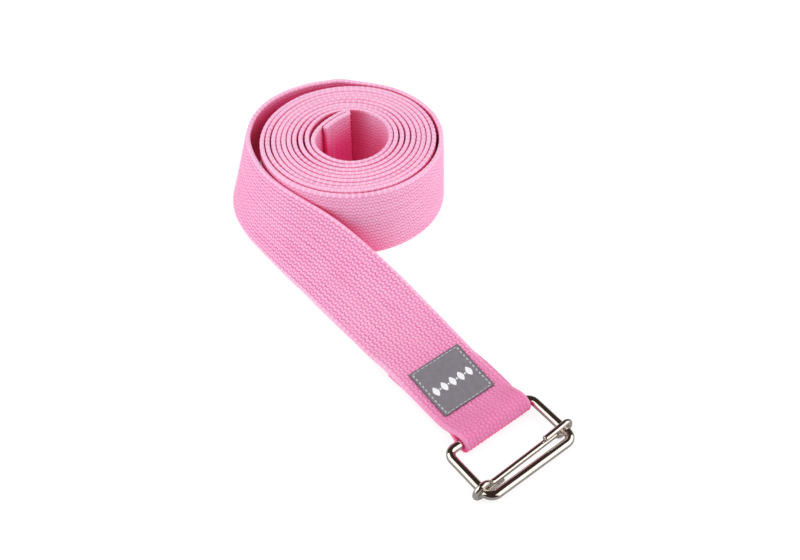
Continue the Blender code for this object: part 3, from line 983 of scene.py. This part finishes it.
class Graph:
    """A material's node tree, written as short sums."""

    def __init__(self, name):
        self.material = bpy.data.materials.new(name)
        self.material.use_nodes = True
        self.tree = self.material.node_tree
        self.shader = self.tree.nodes["Principled BSDF"]

    def add(self, kind, **settings):
        node = self.tree.nodes.new(kind)
        for key, value in settings.items():
            setattr(node, key, value)
        return node

    def put(self, socket, value):
        if isinstance(value, bpy.types.NodeSocket):
            self.tree.links.new(value, socket)
        else:
            socket.default_value = value

    def sum(self, operation, *values):
        node = self.add("ShaderNodeMath", operation=operation)
        for socket, value in zip(node.inputs, values):
            self.put(socket, value)
        return node.outputs[0]

    def ramp(self, value, low, high, to_low=0.0, to_high=1.0):
        node = self.add("ShaderNodeMapRange", interpolation_type="SMOOTHSTEP")
        for socket, number in zip(node.inputs, (value, low, high, to_low, to_high)):
            self.put(socket, number)
        return node.outputs[0]

    def vector(self, x, y, z):
        node = self.add("ShaderNodeCombineXYZ")
        for socket, value in zip(node.inputs, (x, y, z)):
            self.put(socket, value)
        return node.outputs[0]

    def attribute(self, name):
        node = self.add("ShaderNodeAttribute", attribute_name=name)
        split = self.add("ShaderNodeSeparateXYZ")
        self.put(split.inputs[0], node.outputs["Vector"])
        return split.outputs

    def noise(self, vector, scale, detail=2.0):
        node = self.add("ShaderNodeTexNoise")
        self.put(node.inputs["Vector"], vector)
        self.put(node.inputs["Scale"], scale)
        self.put(node.inputs["Detail"], detail)
        return node.outputs["Fac"]

    def grain(self, u, v, w, often, detail=2.0):
        """Noise that changes faster with u and v as the two numbers of often grow."""
        u = self.sum("MULTIPLY", u, often[0])
        v = self.sum("MULTIPLY", v, often[1])
        return self.noise(self.vector(u, v, w), 1.0, detail)

    def zone(self, place, start, end, to_low, to_high):
        """Ramp between two distances along the strap; place counts zigzags."""
        return self.ramp(place, start / WEAVE_ALONG, end / WEAVE_ALONG, to_low, to_high)

    def mix(self, factor, first, second):
        node = self.add("ShaderNodeMix", data_type="RGBA")
        self.put(node.inputs[0], factor)
        for socket, colour in ((node.inputs[6], first), (node.inputs[7], second)):
            plain = not isinstance(colour, bpy.types.NodeSocket)
            self.put(socket, tuple(colour) + (1.0,) if plain else colour)
        return node.outputs[2]

    def shelter(self, reach):
        """0 in a deep hollow, 1 in the open."""
        node = self.add("ShaderNodeAmbientOcclusion", samples=16)
        self.put(node.inputs["Distance"], reach)
        return node.outputs["AO"]

    def bump(self, height, distance, strength):
        node = self.add("ShaderNodeBump")
        self.put(node.inputs["Height"], height)
        self.put(node.inputs["Distance"], distance)
        self.put(node.inputs["Strength"], strength)
        self.put(self.shader.inputs["Normal"], node.outputs[0])

    def finish(self, **sockets):
        for name, value in sockets.items():
            socket = self.shader.inputs[name.replace("_", " ")]
            if isinstance(value, tuple):
                value = value + (1.0,)
            self.put(socket, value)
        return self.material


def cotton_material():
    g = Graph("cotton_webbing_weave")
    p, q, side = g.attribute("weave")
    swing = g.sum("SINE", g.sum("MULTIPLY", p, 2.0 * math.pi))
    line = g.sum("MULTIPLY_ADD", swing, -ZIGZAG, q)
    row = g.sum("COSINE", g.sum("MULTIPLY", line, math.pi))
    bumps = g.sum("MULTIPLY", row, g.sum("COSINE", g.sum("MULTIPLY", p, 4.0 * math.pi)))
    rows = g.sum("MULTIPLY", g.sum("ABSOLUTE", row), 1.0 - BUMPS)
    yarn = g.sum("MULTIPLY_ADD", bumps, BUMPS, rows)
    raised = g.ramp(yarn, 0.05, 0.62)
    place = g.vector(g.sum("MULTIPLY", p, WEAVE_ALONG), g.sum("MULTIPLY", q, WEAVE_ACROSS), side)
    fibres = g.grain(p, q, side, (3.2, 11.0), 3.0)
    streaks = g.grain(p, q, side, (0.06, 1.3))
    speckle = g.grain(p, q, side, (1.9, 0.9))
    patches = g.noise(place, 0.045)

    # the cloth itself, with painted shade in the weave's grooves and pits and a painted highlight
    # on its yarn tops
    # painted shade: the grooves between yarn rows are deeper pink
    colour = g.mix(raised, PINK_DEEP, PINK)
    # painted highlight: the tops of the yarn rows are paler
    colour = g.mix(g.ramp(yarn, 0.6, 0.95, 0.0, 0.5), colour, PINK_PALE)
    # painted shade: dark specks where the grooves meet
    pits = g.sum("MULTIPLY", g.ramp(yarn, 0.0, 0.3, 1.0, 0.0), g.ramp(speckle, 0.42, 0.62))
    colour = g.mix(g.sum("MULTIPLY", pits, 0.6), colour, PINK_PIT_SHADE)
    colour = g.mix(g.ramp(streaks, 0.35, 0.68, 0.0, 0.22), colour, PINK_PALE)
    colour = g.mix(g.ramp(patches, 0.4, 0.75, 0.0, 0.16), colour, PINK_DEEP)
    selvedge = g.ramp(g.sum("ABSOLUTE", q), 8.5, 8.8, 0.0, 0.45)
    colour = g.mix(selvedge, colour, PINK_PALE)

    # zones along the strap: painted shade at the flat end and painted light on the run
    # painted shade: darker towards the loop
    colour = g.mix(g.zone(p, END_SHADE_FROM, END_SHADE_TO, 0.0, END_SHADE), colour, PINK_DEEP)
    # painted light: the run is a little paler
    colour = g.mix(g.zone(p, RUN_LIGHT_FROM, RUN_LIGHT_TO, RUN_LIGHT, 0.0), colour, PINK_PALE)

    # painted shade in hollows and in the hollow of the coil, whose wall is the strap's inner face
    wall = g.ramp(side, -0.9, -0.6, 1.0, 0.0)
    # painted light on part of the hollow's wall, which holds the painted cavity shade off it
    off_lit = g.sum("ABSOLUTE", g.sum("SUBTRACT", p, WALL_LIT_AT / WEAVE_ALONG))
    lit_wall = g.sum("MULTIPLY", g.zone(off_lit, 0.0, WALL_LIT_SPAN, WALL_LIT, 0.0), wall)
    # the cavity colour is painted shade where little open space is seen
    hollow = g.shelter(CAVITY_REACH * MM)
    colour = g.mix(g.sum("MAXIMUM", g.ramp(hollow, 0.08, 0.64), lit_wall), PINK_CAVITY_SHADE, colour)
    # painted shadow in the crease beside the hem, on the hollow's wall only
    crease = g.ramp(g.shelter(CREASE_REACH * MM), 0.30, 0.90, 1.0, 0.0)
    beside = g.zone(p, HEM_SHADOW_FROM, HEM_SHADOW_TO, 0.0, HEM_SHADOW)
    inner = g.zone(p, FIRST_TURN_FROM, FIRST_TURN_TO, 1.0, 0.0)
    crease = g.sum("MULTIPLY", g.sum("MAXIMUM", crease, beside), g.sum("MULTIPLY", inner, wall))
    colour = g.mix(crease, colour, PINK_CREASE_SHADOW)

    height = g.sum("MULTIPLY_ADD", fibres, 0.6, raised)
    g.bump(height, 0.00025, 0.7)
    rough = g.ramp(fibres, 0.3, 0.7, 0.82, 0.97)
    return g.finish(Base_Color=colour, Roughness=rough, Specular_IOR_Level=0.18,
                    Sheen_Weight=0.15, Sheen_Roughness=0.5, Sheen_Tint=(1.0, 0.86, 0.93))


def thread_material(name, colour, pale):
    g = Graph(name)
    place = g.add("ShaderNodeTexCoord").outputs["Object"]
    wave = g.add("ShaderNodeTexWave", bands_direction="DIAGONAL")
    g.put(wave.inputs["Vector"], place)
    g.put(wave.inputs["Scale"], 900.0)
    g.put(wave.inputs["Distortion"], 1.5)
    strand = wave.outputs["Fac"]
    g.bump(strand, 0.00005, 0.7)
    shade = g.mix(strand, colour, pale)
    rough = g.ramp(g.noise(place, 1500.0), 0.3, 0.7, 0.55, 0.8)
    return g.finish(Base_Color=shade, Roughness=rough, Sheen_Weight=0.1)


def label_material():
    g = Graph("woven_label_satin")
    x, y, _ = g.attribute("cloth")
    rib = g.sum("SINE", g.sum("MULTIPLY", y, 2.0 * math.pi / 0.36))
    float_x = g.sum("MULTIPLY_ADD", x, 2.0 * math.pi / 0.9, g.sum("MULTIPLY", y, 8.7))
    satin = g.sum("MULTIPLY", rib, g.sum("SINE", float_x))
    place = g.vector(x, y, 0.0)
    mottle = g.noise(place, 0.35)
    grain = g.grain(x, y, 0.0, (1.5, 6.0), 3.0)
    colour = g.mix(g.ramp(mottle, 0.35, 0.7), GREY, GREY_MOTTLED)
    colour = g.mix(g.ramp(grain, 0.45, 0.75, 0.0, 0.35), colour, GREY_GRAIN)
    edge = g.sum("MAXIMUM", g.sum("SUBTRACT", g.sum("ABSOLUTE", x), LABEL_HALF_X),
                 g.sum("SUBTRACT", g.sum("ABSOLUTE", y), LABEL_HALF_Y))
    # painted shade: darker along the label's edge
    colour = g.mix(g.ramp(edge, -0.55, -0.1, 0.0, 0.75), colour, GREY_EDGE_SHADE)
    g.bump(g.sum("MULTIPLY_ADD", satin, 0.5, grain), 0.00006, 0.5)
    rough = g.ramp(grain, 0.3, 0.7, 0.5, 0.68)
    return g.finish(Base_Color=colour, Roughness=rough, Sheen_Weight=0.15,
                    Specular_IOR_Level=0.4)


def motif_material():
    g = Graph("label_motif_thread")
    place = g.add("ShaderNodeTexCoord").outputs["Object"]
    grain = g.noise(place, 2600.0)
    g.bump(grain, 0.00004, 0.5)
    colour = g.mix(grain, MOTIF_SHADE, MOTIF_WHITE)
    return g.finish(Base_Color=colour, Roughness=0.6)


def nickel_material():
    g = Graph("nickel_plate")
    place = g.add("ShaderNodeTexCoord").outputs["Object"]
    soft = g.noise(place, 220.0)
    fine = g.noise(place, 2400.0, 3.0)
    colour = g.mix(g.ramp(soft, 0.35, 0.7), NICKEL, NICKEL_WORN)
    rough = g.ramp(fine, 0.35, 0.75, 0.07, 0.16)
    g.bump(soft, 0.00008, 0.12)
    return g.finish(Base_Color=colour, Metallic=1.0, Roughness=rough)


# ---- assembly ---------------------------------------------------------------

def main():
    bpy.context.scene.view_settings.view_transform = "Standard"
    add_camera()
    add_world()
    add_floor()
    for softbox in SOFTBOXES:
        add_softbox(*softbox)

    strap = Strap()
    cotton = cotton_material()
    nickel = nickel_material()
    pink_thread = thread_material("pink_sewing_thread", THREAD_PINK_DEEP, PINK_PALE)
    grey_thread = thread_material("grey_sewing_thread", THREAD_GREY_DEEP, THREAD_GREY)

    webbing = build_webbing(strap, cotton)
    wire = build_frame(nickel)
    slide = build_slide(nickel)

    upper = strap.find(LABEL_CENTRE[1], last=False) + LABEL_SLIP
    lower = strap.find(LABEL_CENTRE[1], last=True) - LABEL_SLIP
    across = LABEL_CENTRE[0] - FLAT_EDGE_X
    patch = build_label(strap, upper, across, label_material())
    motif = build_motif(strap, upper, across, motif_material())

    def patch_height(along, sideways):
        y = along - upper
        return label_height(sideways - across - skewed(0.0, y), y)

    above = seam("label_stitches_top", strap, label_outline(upper, across, 1.0),
                 patch_height, grey_thread, bold=(1, 3))
    below = seam("label_stitches_under", strap, label_outline(lower, across, -1.0),
                 HALF_THICK + 0.02, grey_thread)
    hem_line = [(HEM_SEAM_INSET, HEM_SEAM_ENDS), (HEM_SEAM_INSET, WEB_WIDTH - HEM_SEAM_ENDS)]
    hem_front = seam("hem_stitches_front", strap, hem_line, HALF_THICK + 0.05, pink_thread)
    hem_back = seam("hem_stitches_back", strap, hem_line,
                    -(HEM_LAYER_STEP + HALF_THICK + 0.05), pink_thread)

    placed = (
        (webbing, "strap", "webbing", "cotton_webbing"),
        (wire, "buckle", "buckle_frame", "nickel_wire"),
        (slide, "slider", "slide_bar", "nickel_wire"),
        (patch, "strap", "label", "woven_label"),
        (above, "strap", "label_needle_thread", "grey_thread"),
        (below, "strap", "label_bobbin_thread", "grey_thread"),
        (hem_front, "strap", "hem_needle_thread", "pink_thread"),
        (hem_back, "strap", "hem_bobbin_thread", "pink_thread"),
    )
    for piece, body, node, slot in placed:
        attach(piece, body)
        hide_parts(node)
    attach(motif, "strap")


main()
